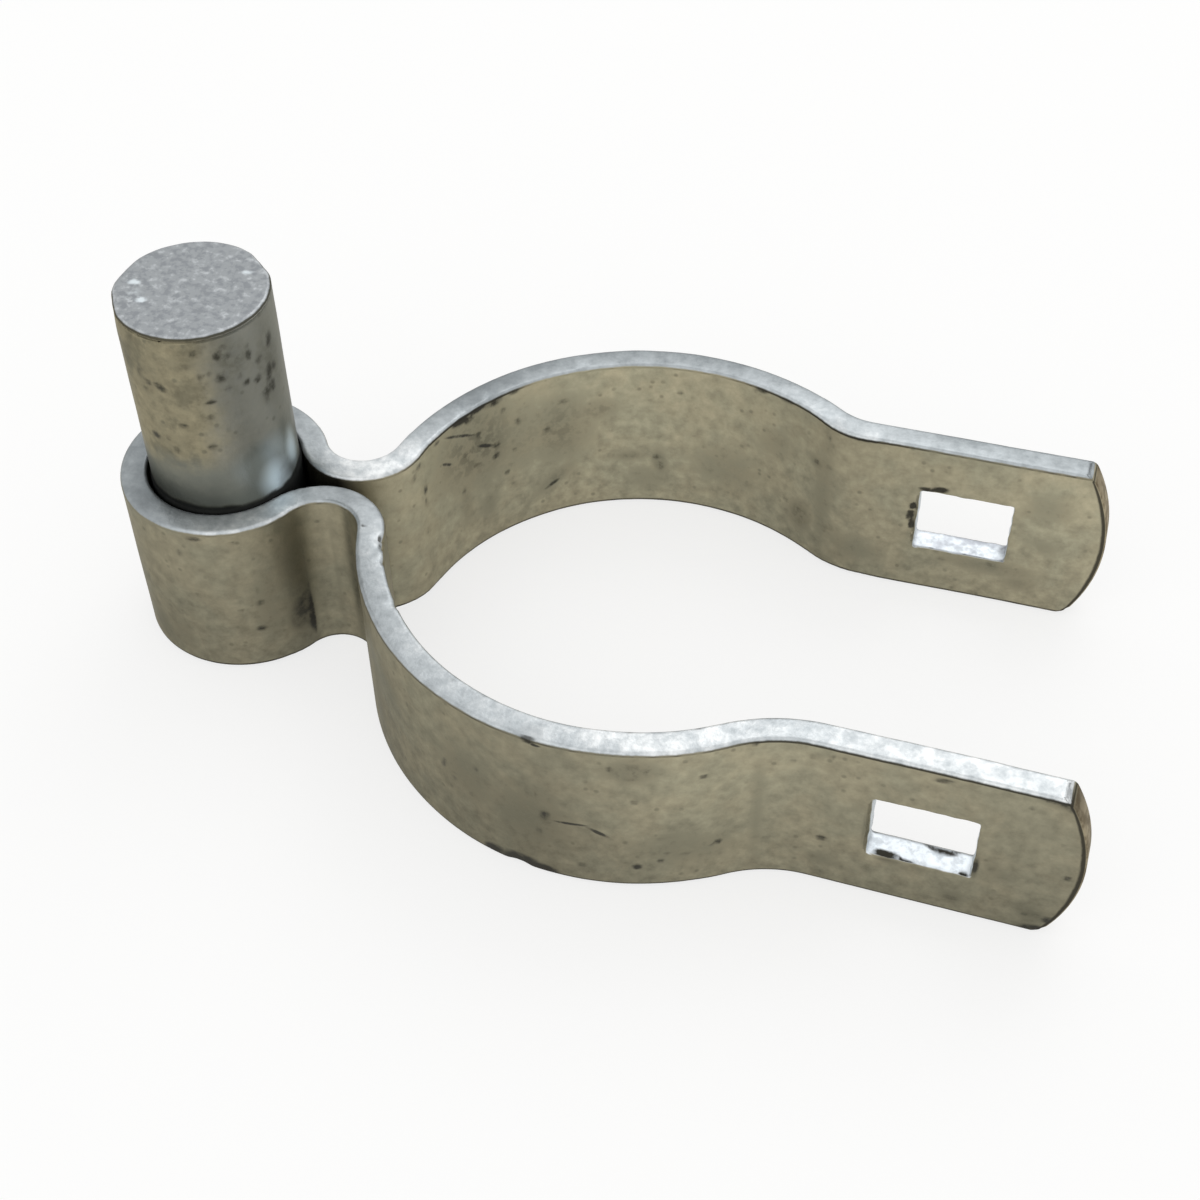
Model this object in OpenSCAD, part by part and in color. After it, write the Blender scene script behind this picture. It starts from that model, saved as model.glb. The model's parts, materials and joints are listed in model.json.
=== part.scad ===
// Post hinge: a flat steel strap bent round a gate post and round an upright hinge pin.
// The origin is on the post's axis, halfway up the strap.
// +X points from the pin to the ears, -Y is the front, and +Z is the way the pin stands.

/* [Strap] */
// Width of the flat bar, upright in use
strap_w = 25.5; // [16:0.1:40]
// Thickness of the flat bar, zinc coat included
strap_t = 3.5; // [2:0.1:5]
// Rounding of the bar's long edges
edge_r = 0.5; // [0.2:0.1:0.9]

/* [Post band] */
// Outside diameter of the post
post_d = 63.5; // [58:0.5:90]
// Slack between the post and the band, on the radius
post_slack = 0.15; // [0:0.05:0.2]

/* [Hinge pin] */
// Diameter of the pin where the gate's half turns on it
pin_d = 19.05; // [12:0.05:22]
// Height of the pin that stands out above the strap
pin_rise = 27.8; // [15:0.1:60]
// Rounding of the pin's top rim
pin_rim_r = 0.5; // [0.2:0.1:2]
// Bevel round the pin's foot
pin_foot_bevel = 0.5; // [0.2:0.1:1.5]
// How much thicker the gripped length of the pin is, on the radius
grip_step = 0.2; // [0.16:0.01:0.5]

/* [Loop and neck] */
// Play between the gripped length of the pin and the loop, on the radius
loop_play = 0.22; // [0.05:0.01:0.6]
// Gap left where the pin is seated against the throat
seat_gap = 0.03; // [0.01:0.01:0.05]
// Gap between the two necks
neck_gap = 1.35; // [0.6:0.05:3]
// Radius of the hollow side of each neck bend
neck_r = 5; // [3:0.1:7]

/* [Ears] */
// Distance of the front ear's inner face from the middle plane, where the ear begins
front_half_gap = 24.6; // [18:0.1:26]
// Distance of the back ear's inner face from the middle plane, where the ear begins
back_half_gap = 23.8; // [18:0.1:26]
// Radius of the hollow side of the front ear's bend
front_bend_r = 17; // [6:0.5:18]
// Radius of the hollow side of the back ear's bend
back_bend_r = 8; // [6:0.5:18]
// Angle by which the front ear splays outward, in degrees
front_splay = 3.1; // [-4:0.1:5]
// Angle by which the back ear splays outward, in degrees
back_splay = -1.6; // [-4:0.1:5]
// Length of the front ear, from its bend to its tip
front_ear_l = 31.6; // [28:0.1:50]
// Length of the back ear, from its bend to its tip
back_ear_l = 32.4; // [28:0.1:50]
// Radius of the round end of each ear
tip_r = 25.2; // [21:0.1:60]
// Rounding of the upper corner of each ear's end
tip_top_r = 1.2; // [0.5:0.1:5]
// Rounding of the lower corner of each ear's end
tip_low_r = 3; // [0.5:0.1:5]

/* [Bolt holes] */
// Length of the oblong hole along the ear
hole_l = 12.4; // [8:0.1:13]
// Height of the oblong hole
hole_h = 10.4; // [6:0.1:11]
// Rounding of the hole's corners
hole_corner_r = 0.8; // [0.3:0.1:2]
// Distance from the end of each ear to the middle of its hole
hole_inset = 18.65; // [16:0.05:20]
// Height of the holes' middle above the middle of the strap
hole_rise = 0; // [-1:0.1:1]

/* [Hidden] */
$fn = 96;
zinc = [0.63, 0.64, 0.60];
zinc_pin = [0.58, 0.57, 0.51];
// Small overrun that lets a cut pass through a face
over = 1;
// How much thinner a joining bend is on each face, and how far it runs into its neighbours
hair = 0.002;
bend_lap = 0.04;
// How far the arc of an ear's corner stands out past the arc of its tip, so that the two cross
corner_proud = 0.01;
pin_r = pin_d / 2;
grip_r = pin_r + grip_step;
loop_r = grip_r + loop_play;
band_r = post_d / 2 + post_slack;
// Middle of each neck bend, off the middle plane and along X
neck_y = neck_gap / 2 + strap_t + neck_r;
neck_x = -sqrt(pow(band_r + strap_t + neck_r, 2) - pow(neck_y, 2));
// Middle of the loop, where it is tangent to both neck bends
loop_x = neck_x - sqrt(pow(loop_r + strap_t + neck_r, 2) - pow(neck_y, 2));
// Direction of the neck bend as the loop's middle sees it, and as the post's axis sees it
throat_a = atan2(neck_y, neck_x - loop_x);
neck_a = atan2(neck_y, neck_x);
// The pin is seated on both shoulders of the throat
pin_x = loop_x + (loop_play - seat_gap) / cos(throat_a);
pin_foot_z = -strap_w / 2;
pin_step_z = strap_w / 2;
pin_top_z = pin_step_z + pin_rise;

// Section of the flat bar with its rounded edges, from x = 0 on its inner face, upright on y.
// inset draws it that much smaller all round.
module bar_section(inset = 0) {
    flat_t = strap_t - 2 * edge_r;
    flat_w = strap_w - 2 * edge_r;
    corner_r = edge_r - inset;
    translate([strap_t / 2, 0]) {
        square([flat_t, flat_w + 2 * corner_r], center = true);
        square([flat_t + 2 * corner_r, flat_w], center = true);
        for (x = [-1, 1], z = [-1, 1])
            translate([x * flat_t / 2, z * flat_w / 2])
                circle(r = corner_r);
    }
}

// A bent stretch of the bar about a middle, its near face at radius r, from angle a0 over angle da
module bent_bar(middle, r, a0, da, inset = 0) {
    translate([middle[0], middle[1], 0])
        rotate_extrude(angle = da, start = a0)
            translate([r, 0])
                bar_section(inset);
}

// A bend that joins two stretches: a hair thinner than they are, it runs a little way into both
module joining_bend(middle, r, a0, da) {
    lap_a = bend_lap / r * 180 / PI;
    bent_bar(middle, r, a0 - lap_a, da + 2 * lap_a, hair);
}

// Outline of an ear seen square on, from its root to its round end
module ear_outline(length) {
    difference() {
        intersection() {
            translate([0, -strap_w / 2])
                square([length, strap_w]);
            translate([length - tip_r, 0])
                circle(r = tip_r, $fn = 360);
        }
        tip_corner(length, tip_top_r, 1);
        tip_corner(length, tip_low_r, -1);
    }
}

// What is taken off one corner of the ear's end to round it
module tip_corner(length, r, side) {
    z = strap_w / 2 - r;
    x = sqrt(pow(tip_r - r + corner_proud, 2) - pow(z, 2));
    lean = atan2(z, x);
    reach = 3 * r;
    mirror([0, side < 0 ? 1 : 0])
        translate([length - tip_r + x, z])
            difference() {
                polygon([[0, 0], [0, reach], [reach, reach], [reach * cos(lean), reach * sin(lean)]]);
                circle(r = r);
            }
}

// Outline of the bolt hole, about its middle
module hole_outline() {
    square([hole_l - 2 * hole_corner_r, hole_h], center = true);
    square([hole_l, hole_h - 2 * hole_corner_r], center = true);
    for (x = [-1, 1], z = [-1, 1])
        translate([x * (hole_l / 2 - hole_corner_r), z * (hole_h / 2 - hole_corner_r)])
            circle(r = hole_corner_r);
}

// A straight ear along +X with its inner face on y = 0, drilled for the bolt
module ear(length) {
    intersection() {
        rotate([90, 0, 90])
            linear_extrude(length)
                bar_section();
        translate([0, strap_t + over, 0])
            rotate([90, 0, 0])
                linear_extrude(strap_t + 2 * over)
                    difference() {
                        ear_outline(length);
                        translate([length - hole_inset, hole_rise])
                            hole_outline();
                    }
    }
}

// The side of the strap at +Y, from the loop to the ear's end
module strap_side(half_gap, bend_r, splay, ear_l) {
    bend_y = half_gap + bend_r + strap_t;
    bend_x = sqrt(pow(band_r + strap_t + bend_r, 2) - pow(bend_y, 2));
    bend_a = atan2(bend_y, bend_x);
    // The ear's root is where the bend's outer side faces the middle plane
    root_x = bend_x + (bend_r + strap_t) * sin(splay);
    root_y = bend_y - (bend_r + strap_t) * cos(splay);
    joining_bend([neck_x, neck_y], neck_r, throat_a - 180, neck_a - throat_a);
    bent_bar([0, 0], band_r, bend_a, neck_a - bend_a);
    joining_bend([bend_x, bend_y], bend_r, 180 + bend_a, 90 + splay - bend_a);
    translate([root_x, root_y, 0])
        rotate([0, 0, splay])
            ear(ear_l);
}

module band() {
    color(zinc) {
        bent_bar([loop_x, 0], loop_r, throat_a, 360 - 2 * throat_a);
        strap_side(back_half_gap, back_bend_r, back_splay, back_ear_l);
        mirror([0, 1, 0])
            strap_side(front_half_gap, front_bend_r, front_splay, front_ear_l);
    }
}

// Half outline of the pin, turned about its axis: bevelled foot, gripped length, step and rounded top rim
module pin_profile() {
    polygon([
        [0, pin_foot_z],
        [grip_r - pin_foot_bevel, pin_foot_z],
        [grip_r, pin_foot_z + pin_foot_bevel],
        [grip_r, pin_step_z - grip_step],
        [pin_r, pin_step_z],
        [0, pin_step_z]
    ]);
    translate([0, pin_step_z])
        square([pin_r, pin_rise - pin_rim_r]);
    translate([0, pin_top_z - pin_rim_r])
        square([pin_r - pin_rim_r, pin_rim_r]);
    intersection() {
        translate([pin_r - pin_rim_r, pin_top_z - pin_rim_r])
            circle(r = pin_rim_r);
        translate([pin_r - pin_rim_r, pin_top_z - pin_rim_r])
            square(pin_rim_r);
    }
}

module pin() {
    color(zinc_pin)
        translate([pin_x, 0, 0])
            rotate_extrude()
                pin_profile();
}

band();
pin();
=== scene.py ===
import json
import math

import bmesh
import bpy
from mathutils import Matrix, Vector, noise


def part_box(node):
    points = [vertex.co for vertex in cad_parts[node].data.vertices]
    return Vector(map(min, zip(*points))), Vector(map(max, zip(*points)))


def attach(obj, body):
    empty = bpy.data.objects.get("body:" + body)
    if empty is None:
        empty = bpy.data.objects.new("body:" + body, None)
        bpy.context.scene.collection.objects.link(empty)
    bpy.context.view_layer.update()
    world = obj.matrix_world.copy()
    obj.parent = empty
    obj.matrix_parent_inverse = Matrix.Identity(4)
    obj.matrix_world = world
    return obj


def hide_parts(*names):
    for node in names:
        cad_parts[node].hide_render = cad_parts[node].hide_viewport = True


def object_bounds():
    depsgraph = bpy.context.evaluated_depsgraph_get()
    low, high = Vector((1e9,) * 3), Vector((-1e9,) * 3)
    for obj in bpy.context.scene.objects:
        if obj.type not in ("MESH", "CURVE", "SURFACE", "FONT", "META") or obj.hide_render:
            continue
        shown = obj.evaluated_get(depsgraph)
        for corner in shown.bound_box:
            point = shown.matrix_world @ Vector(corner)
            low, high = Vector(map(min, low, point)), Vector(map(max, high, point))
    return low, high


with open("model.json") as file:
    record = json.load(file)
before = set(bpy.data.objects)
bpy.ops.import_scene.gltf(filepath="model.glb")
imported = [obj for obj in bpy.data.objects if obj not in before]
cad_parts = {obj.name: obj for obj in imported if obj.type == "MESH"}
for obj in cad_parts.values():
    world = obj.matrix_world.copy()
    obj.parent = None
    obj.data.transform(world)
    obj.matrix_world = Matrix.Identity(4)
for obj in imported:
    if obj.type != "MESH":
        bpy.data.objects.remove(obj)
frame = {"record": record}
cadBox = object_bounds()
mounts = {mount["name"]: mount for mount in frame["record"]["mounts"]}
perMetre = 1000  # lengths are in millimetres up to toObject
bandRadius = mounts["post_clamp"]["dims"]["r_mm"]
pinRadius = mounts["gate_pin"]["dims"]["r_mm"]
pinX = mounts["gate_pin"]["pos_m"][0] * perMetre
strapLow, strapHigh = (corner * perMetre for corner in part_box("band"))
pinLow, pinHigh = (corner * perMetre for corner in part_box("pin"))
print("frame loaded")

merging = 1e-4  # points nearer than this become one
touching = 0.01  # what is nearer than this to an edge or a face lies on it
seedGap = 7.3  # how far apart two seeds lie in the noise
stripWidth = 4  # marks are kept in strips this wide, so that few are tried at each point
markCore, markReach = 0.1, 1.3  # a mark is full in its core and gone at its reach, as shares of its size


def smooth(low, high, value):
    t = min(max((value - low) / (high - low), 0), 1)
    return t * t * (3 - 2 * t)


def ripple(x, y, wave):
    # soft waviness about 0, from the length of a wave, its seed and its height
    length, seed, height = wave
    return noise.noise(Vector((x / length, y / length, seedGap * seed))) * height


def level(stops, place):
    # a value at this place, from the places where it is given
    for (left, low), (right, high) in zip(stops, stops[1:]):
        if place < right:
            return low + (high - low) * min(max((place - left) / (right - left), 0), 1)
    return stops[-1][1]


def sortMarks(marks):
    # a mark is x, y, half length, half height, strength and, where it is turned, its turn in degrees
    strips = {}
    for mark in marks:
        reach = markReach * max(mark[2], mark[3])
        first, last = (math.floor((mark[0] + way * reach) / stripWidth) for way in (-1, 1))
        for strip in range(first, last + 1):
            strips.setdefault(strip, []).append(mark)
    return strips


def markStrengthAt(strips, x, y):
    # how strong the strongest mark is here
    strongest = 0
    for markX, markY, halfLength, halfHeight, strength, *turn in strips.get(math.floor(x / stripWidth), ()):
        turn = math.radians(turn[0]) if turn else 0
        longways = (x - markX) * math.cos(turn) + (y - markY) * math.sin(turn)
        across = (y - markY) * math.cos(turn) - (x - markX) * math.sin(turn)
        gap = math.hypot(longways / halfLength, across / halfHeight)
        strongest = max(strongest, strength * (1 - smooth(markCore, markReach, gap)))
    return strongest


def writeOn(bm, names, valuesAt):
    # numbers on the points, which the finishes read
    layers = [bm.verts.layers.float.new(name) for name in names]
    for vert in bm.verts:
        for layer, value in zip(layers, valuesAt(vert.co)):
            vert[layer] = value


def easeEdges(bm, parts, size, segments, affect="EDGES"):
    bmesh.ops.bevel(bm, geom=parts, offset=size, offset_type="OFFSET", affect=affect,
                    segments=segments, profile=0.5, material=-1)


def toObject(bm, name):
    # millimetres become metres here, and every face is shaded smooth
    bmesh.ops.scale(bm, vec=(1 / perMetre,) * 3, verts=bm.verts)
    bmesh.ops.recalc_face_normals(bm, faces=bm.faces)
    for face in bm.faces:
        face.smooth = True
    mesh = bpy.data.meshes.new(name)
    bm.to_mesh(mesh)
    bm.free()
    piece = bpy.data.objects.new(name, mesh)
    bpy.context.scene.collection.objects.link(piece)
    print(name, "has", len(mesh.polygons), "faces")
    return piece


# The strap is drawn flat and straight, holed and rounded at its ends, and then bent, as the real one is.
strap = {
    "thickness": 3.5,
    "width": strapHigh.z - strapLow.z,
    "edgeRadius": 0.5,
    "edgeSegments": 4,
    "holdingRow": 0.2,  # a row close to each rounded edge keeps the flats flat
    "rowsOverHole": 14,
    "rowsInHole": 20,
    "rowsInWall": 4,
    "column": 0.5,
    "loopRadius": 9.945,
    "neckRadius": 5,
    "neckGap": 1.35,
    "holeLength": 12.4,
    "holeHeight": 10.4,
    "holeCorner": 0.5,
    "holeInset": 18.65,
    "holeBevel": 0.2,
    "holeCut": 2,  # how much of the bar either side of a hole's end is cut there
    "tipRadius": 25.2,
    "tipTop": 1.2,
    "tipLow": 3,
    "tipBevel": 0.25,
    "tipStart": 1,  # how far past its hole an ear begins to be shaped
    "bevelSegments": 2,
    "narrowing": 0.12,  # how much a stretched side draws in
    "bendSoftness": 3,  # how far the stretch of a bend runs out into its neighbours
    # unevenness: length of a wave, seed and height
    "faceWave": (13, 3, 0.07),
    "edgeWave": (9, 1, 0.08),
    "edgeGrain": (1.1, 2, 0.04),
    "holeWobble": (1.7, 6, 0.16),
    "holeHeave": (1.7, 7, 0.16),
    "neckStreaks": (1.2, 9, 0.12),
    "streakLength": 9,  # times as tall as wide
    "waveFrom": 0.5,  # share of the half width at which the edges' unevenness begins
    "holeSoftness": 1.2,  # how far from a hole its unevenness fades out
    "nickCore": 0.3,  # shares of a nick's reach at which it is full and gone
    "nickFade": 1.6,
    "nickInward": 0.7,  # how much of a nick's depth also goes into the face
    "frontEar": {"side": -1, "halfGap": 24.6, "bendRadius": 17, "splay": 3.1, "length": 31.6},
    "backEar": {"side": 1, "halfGap": 23.8, "bendRadius": 8, "splay": -1.6, "length": 32.4},
    # nicks: place along the strap, height, side (-1 inner, 1 outer), reach and depth
    "nicks": [
        (-87.2, 12.7, 1, 1.1, 0.4), (-48.4, 12.7, -1, 0.7, 0.4), (-49.8, 12.7, -1, 0.6, 0.35),
        (-52.6, 12.7, -1, 0.5, 0.25), (-60.5, 12.7, -1, 0.6, 0.2), (-85.5, -12.7, 1, 1.2, 0.2),
        (57, 12.7, -1, 1, 0.2), (61.5, 12.7, -1, 0.7, 0.2), (76, 12.7, -1, 0.6, 0.15),
        (114, 12.7, -1, 1.2, 0.2),
    ],
    # how light each part is along the strap, where 1 is the plain colour of its finish; the dip at the outer
    # crease near -31 and the 0.1 inside the loop and necks are painted shade
    "outerTones": [(-152, 0.97), (-128, 1.07), (-120, 1.13), (-114, 1.24), (-108, 1.3), (-102, 1.17),
                   (-96, 1.02), (-90, 0.86), (-80, 0.86), (-72, 0.94), (-66, 0.88), (-60, 0.85), (-54, 0.88),
                   (-45, 0.92), (-36, 1.04), (-32.6, 1.02), (-32, 0.84), (-29.6, 0.8), (-27.5, 0.88),
                   (-25.5, 1.0), (-18, 0.94), (-12, 0.89), (0, 0.93), (152, 1)],
    "innerTones": [(-152, 1.0), (-41, 1.0), (-37, 0.1), (37.2, 0.1), (39.2, 1.15), (42, 1.5), (54, 1.42),
                   (60, 1.34), (67, 1.5), (84, 1.6), (97, 1.47), (108, 1.24), (114, 1.16), (121, 1.33),
                   (128, 1.3), (152, 1.5)],
    # the same for the narrow edges, bright zinc with painted highlight and painted shade, from 0, dark, to
    # 1, bright, and how much lighter the outer side is painted
    "edgeTones": [(-152, 0.6), (-128, 0.6), (-116, 0.5), (-104, 0.68), (-84, 0.44), (-60, 0.34), (-46, 0.44),
                  (-38, 0.12), (-30, 0.56), (-21, 0.42), (-12, 0.02), (-4, 0.08), (20, 0.1), (42, 0.7),
                  (50, 0.42), (60, 0.02), (75, 0.2), (95, 0.12), (110, 0.38), (118, 0.38), (130, 0.19),
                  (152, 0.22)],
    "edgeLean": [(-152, 0), (-62, -0.08), (-42, 0.05), (-30, 0.08), (10, 0.08), (36, 0.05), (55, -0.12),
                 (152, -0.12)],
    # the painted dark shade line under the top edges
    "outerLine": [(-152, 0.95), (-114, 0.9), (-106, 0.55), (-60, 0.6), (-40, 0.5), (0, 0.35), (152, 0.3)],
    "innerLine": [(-152, 0.4), (40, 0.35), (50, 0.9), (63, 0.85), (70, 0.35), (96, 0.4), (104, 0.75),
                  (118, 0.95), (128, 0.55), (152, 0.65)],
    "lowLine": 0.75,  # and above the lower edges
    "endLine": 0.55,  # and how wide it is beside a sheared end
    "streakedNeck": (-44, -32.5),
    # the front neck is clean up to its crease: from, to, and how much of its marks and smudges is left
    "cleanNeck": (-37, -32, 0.2, 0.3),
    "endSkin": 0.1,  # points this near an end belong to its sheared face
    "cutTop": 0.15,  # how far the sheared face's brown reaches into the top edge's rounding
    "wallSkin": 0.05,  # points this near a hole's outline belong to its walls
    "wallRim": 0.5,  # dirt along the inner rim of a hole's floor: width and strength
    "wallRimDirt": 0.62,
    "edgeShare": 0.9,  # share of the edge's rounding that belongs to the narrow side
    # soft grey smudges on the outer face, with painted shade at the crease (-31 to -25), beside the neck
    # (-40.7 and -37) and along the front ear's top end (-149): along, height, half length, half height,
    # strength, turn
    "outerSmudges": [
        (-98.9, 9.6, 3.4, 2.4, 0.9, -6), (-87, -2, 6, 7.5, 0.62), (-79, 0.5, 5, 6, 0.5, -30),
        (-87.6, -1, 1.6, 6, 0.6), (-105.5, -5.5, 7, 4, 0.5), (-103.5, -3, 2.6, 1.3, 0.5),
        (-105.1, -6.7, 1.6, 1, 0.6), (-122.3, -8.4, 2.4, 1.4, 0.55), (-148, -9.2, 3, 1.8, 0.8, 30),
        (-138.4, -9.6, 2, 1.4, 0.75), (-143, -3, 2.6, 2, 0.35, 20), (-113.7, -1.5, 1.1, 14, 0.42),
        (-30.2, 1, 3, 12, 0.7), (-31, -4.4, 3, 6.6, 1), (-25.8, -2.5, 1.7, 8, 0.45), (-40.7, 0, 1.2, 18, 1),
        (-149, 12, 3.4, 1, 0.9), (-37, 0, 0.9, 18, 0.3), (-11.2, -8.5, 2.6, 3.2, 0.6),
        (-14.9, -8.1, 2, 3, 0.5), (-65, 4, 5, 4, 0.35, 30), (-60, -3, 2.4, 9, 0.4), (96, 2, 5, 4, 0.6, 20),
        (20, -3, 3, 5, 0.6), (135, -6, 5, 3, 0.5, 10),
    ],
    "innerSmudges": [
        (58, 6, 10, 9, 0.9, -20), (66, 4, 6, 8, 0.55), (72, 3, 6.5, 7.5, 0.75), (77.8, 5.2, 4, 2.4, 0.7),
        (71, -6, 5, 1.6, 0.7, 35), (82.5, -3.8, 3.2, 1.2, 0.7), (87, -5, 1.4, 3.2, 0.8, 10),
        (85, -8, 4, 3, 0.4), (55.6, -3, 1.6, 5, 0.6), (59.8, -6, 2.4, 3, 0.5), (97, -4, 7, 5, 0.45),
        (110, -6.7, 2.6, 3.2, 0.9), (113.8, 0, 1.6, 13, 0.42), (112.3, 4.8, 1.8, 1.2, 0.7, -20),
        (105, 4, 5, 3, 0.35, 30), (118.5, -8, 5, 3, 0.5), (137, -6.4, 8, 1.6, 0.6), (143, 6, 4, 3, 0.4),
        (143.4, -1, 2.6, 1.6, 0.45), (141, -8.5, 2.6, 1.6, 0.6), (-90, 2, 5, 5, 0.6, 20),
        # the last, over the inside of the loop and necks, is painted shade
        (-124, 7, 4, 3, 0.6), (0, 0, 44, 40, 0.8),
    ],
    # dark spots on the outer face, in the same order; those at the crease (-31.7, -31.8, -30.2), beside the
    # front hole's end (-140.4) and along the front ear's top end (-147.6) are painted shade
    "outerMarks": [
        (-89, -1.2, 0.95, 1.55, 0.93, 10), (-88.1, 2.6, 0.6, 1.38, 0.5), (-88.3, -4.6, 0.69, 1.89, 0.51),
        (-91.4, 2, 0.77, 0.77, 0.51), (-91.8, 4.2, 0.6, 2.4, 0.3, -8), (-75.5, 0, 0.69, 1.89, 0.56, 15),
        (-80.4, 2.7, 0.69, 0.95, 0.56), (-77, -1.7, 0.86, 0.86, 0.5), (-78.7, -1.8, 0.69, 0.69, 0.45),
        (-79.5, -2.9, 0.77, 0.77, 0.5), (-73.5, 3.6, 1.89, 1.55, 0.35), (-66.7, -3.2, 0.69, 0.86, 0.45),
        (-92.4, 9.9, 0.69, 0.86, 0.4), (-94.3, 10.9, 0.69, 0.6, 0.45), (-96.6, 9.9, 0.86, 0.86, 0.6),
        (-98.8, 8.2, 1.55, 0.69, 0.6, -8), (-100.5, 9.9, 1.03, 0.77, 0.56), (-101, 7.1, 1.2, 0.6, 0.4),
        (-99.3, 4, 0.77, 0.69, 0.7), (-106.9, 7.9, 1.03, 0.6, 0.74), (-108.9, -5.2, 0.77, 0.77, 0.84),
        (-110, -2.7, 0.6, 0.6, 0.4), (-111.2, -3.1, 0.6, 0.6, 0.35), (-107.9, -5.8, 0.6, 0.6, 0.5),
        (-107.6, -8.9, 0.6, 0.6, 0.5), (-102.3, -7.7, 0.69, 0.77, 0.65), (-103, -6.3, 0.86, 0.6, 0.5),
        (-105.1, -6.7, 1.2, 0.69, 0.4), (-99.6, -8.8, 0.95, 0.86, 0.93, 30),
        (-102.3, -3.3, 1.38, 0.69, 0.45), (-98, -6.9, 0.69, 0.69, 0.45), (-93.3, -9.4, 0.86, 0.77, 0.74),
        (-94, -10.6, 0.69, 0.69, 0.5), (-82.4, -12, 2, 1.5, 1.3), (-85.8, -12, 3, 2, 1.5),
        (-88.7, -12.3, 2.4, 1.5, 1.4), (-90.6, -12.6, 1.55, 0.69, 0.74), (-87.4, 12.2, 1.29, 0.6, 0.84, 8),
        (-112.8, 12.1, 0.86, 0.77, 0.74), (-114.9, 8.8, 0.77, 0.77, 0.45), (-117.8, 9.1, 0.95, 0.77, 0.45),
        (-120.2, 10.4, 0.77, 0.86, 0.65), (-122.4, 11, 0.77, 0.77, 0.6), (-121.3, 9.7, 0.69, 0.6, 0.35),
        (-123.1, 9, 0.77, 0.77, 0.45), (-123.5, 7.3, 0.6, 0.95, 0.35), (-122.3, -4.3, 1.03, 0.77, 0.93),
        (-116.5, -4.7, 0.43, 1.72, 0.3), (-135.2, 11.4, 1.72, 0.6, 0.84, -8), (-132.6, 8.7, 0.6, 0.6, 0.45),
        (-145.1, 10.2, 0.77, 0.69, 0.51), (-149.4, 5, 0.6, 0.6, 0.51), (-150.4, 4.6, 0.6, 0.86, 0.4),
        (-150.8, -0.8, 0.77, 0.77, 0.93), (-142.3, -2.4, 0.86, 1.03, 0.5, 30),
        (-143.8, -3.5, 0.6, 0.69, 0.4), (-138.4, -10, 1.29, 0.77, 0.74), (-147.1, -9.5, 0.86, 0.86, 0.56),
        (-148.5, -9.2, 1.03, 0.86, 0.4), (-149.9, -9.6, 1.12, 0.86, 0.93, -30),
        (-148.1, -12, 2.2, 1, 1.2, -12), (-149.6, 11.4, 1.38, 0.86, 0.74), (-140.4, -2.8, 0.6, 2.8, 0.93),
        (-147.6, 12.1, 3.2, 0.5, 0.65), (-127.2, -0.5, 0.6, 6, 0.5), (-130.5, -5.7, 2.4, 0.8, 0.56),
        (-134, -5.9, 1.72, 0.69, 0.45), (-31.7, -6.8, 1.5, 4.6, 1.4), (-31.8, 0, 0.8, 13, 0.5),
        (-30.2, -5, 2.8, 5, 0.65, 20), (-37.6, -4.8, 0.6, 0.6, 0.4), (-25.1, -0.8, 0.77, 0.86, 0.79),
        (-25.1, 1.6, 0.6, 1.38, 0.45), (-26, 4, 0.69, 0.86, 0.4), (-24.8, -5.6, 1.12, 0.77, 0.84),
        (-22.9, -1.7, 0.77, 0.69, 0.5), (-23.5, 10.9, 0.95, 0.69, 0.5), (-19.1, 11.7, 1.29, 0.69, 0.93),
        (-17.1, 8.6, 0.86, 1.29, 0.5), (-13.5, 3.6, 0.69, 1.89, 0.45, 15), (-15.6, -1.5, 0.77, 1.03, 0.56),
        (-15.6, -3.2, 0.69, 0.77, 0.5), (-20.4, 6.6, 0.69, 0.77, 0.3), (64, -7, 1.2, 0.77, 0.84),
        (131, 8, 0.77, 0.69, 0.84), (88, 3, 0.86, 0.77, 0.65), (52, 5, 0.77, 1.2, 0.56),
    ],
    # and on the inner face
    "innerMarks": [
        (55.8, 12.3, 2.4, 1, 1.4), (57.2, 11.4, 1.2, 1, 1.2), (58.9, 12.3, 2.2, 0.8, 1.2),
        (61.6, 12, 2.4, 1.1, 0.79), (65.2, 12.2, 1.38, 0.69, 0.7), (63.1, 9.8, 0.77, 0.86, 0.75),
        (58.8, 7.9, 0.86, 1.2, 0.62), (61.6, 4.3, 1.38, 0.86, 0.7, -20), (61.5, 2.4, 1.03, 0.86, 0.75),
        (63.3, -1.6, 0.77, 0.77, 0.7), (56.2, 5.8, 0.86, 0.77, 0.62), (65.5, 6.8, 0.77, 1.2, 0.53, 20),
        (64.6, 3.5, 0.69, 0.77, 0.62), (64.8, 1.9, 0.77, 0.77, 0.62), (59.8, 9.6, 0.86, 0.77, 0.53),
        (58, 2.6, 1.2, 0.69, 0.53, -20), (70.1, 3.5, 1.03, 0.86, 0.53), (68.8, 6.4, 0.77, 1.38, 0.4, 15),
        (72.8, 7.8, 1.89, 0.77, 0.5), (74.5, 6.8, 0.69, 1.89, 0.35, 10), (74, 0.5, 0.7, 6, 0.35),
        (47.2, 6, 0.69, 1.29, 0.88), (47.1, 3.8, 0.52, 1.12, 0.75), (46.3, 11, 0.77, 0.77, 0.79),
        (45.4, 9.7, 0.77, 1.29, 0.62, -15), (50.6, 11.6, 1.03, 0.69, 0.62), (55.3, -0.5, 0.86, 1.03, 0.5),
        (60.1, -4.8, 0.77, 1.03, 0.45), (89.9, 8.2, 0.86, 0.69, 0.57), (91.7, 7.6, 0.6, 0.95, 0.48),
        (87.1, 10, 0.6, 0.6, 0.3), (81.7, 1.3, 1.03, 0.77, 0.35), (82.5, -3.8, 1.55, 0.69, 0.4),
        (86.4, -4.1, 0.95, 0.77, 0.66, -30), (87.3, -5.7, 0.69, 1.29, 0.53), (93.6, -0.9, 0.77, 0.95, 0.4),
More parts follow.
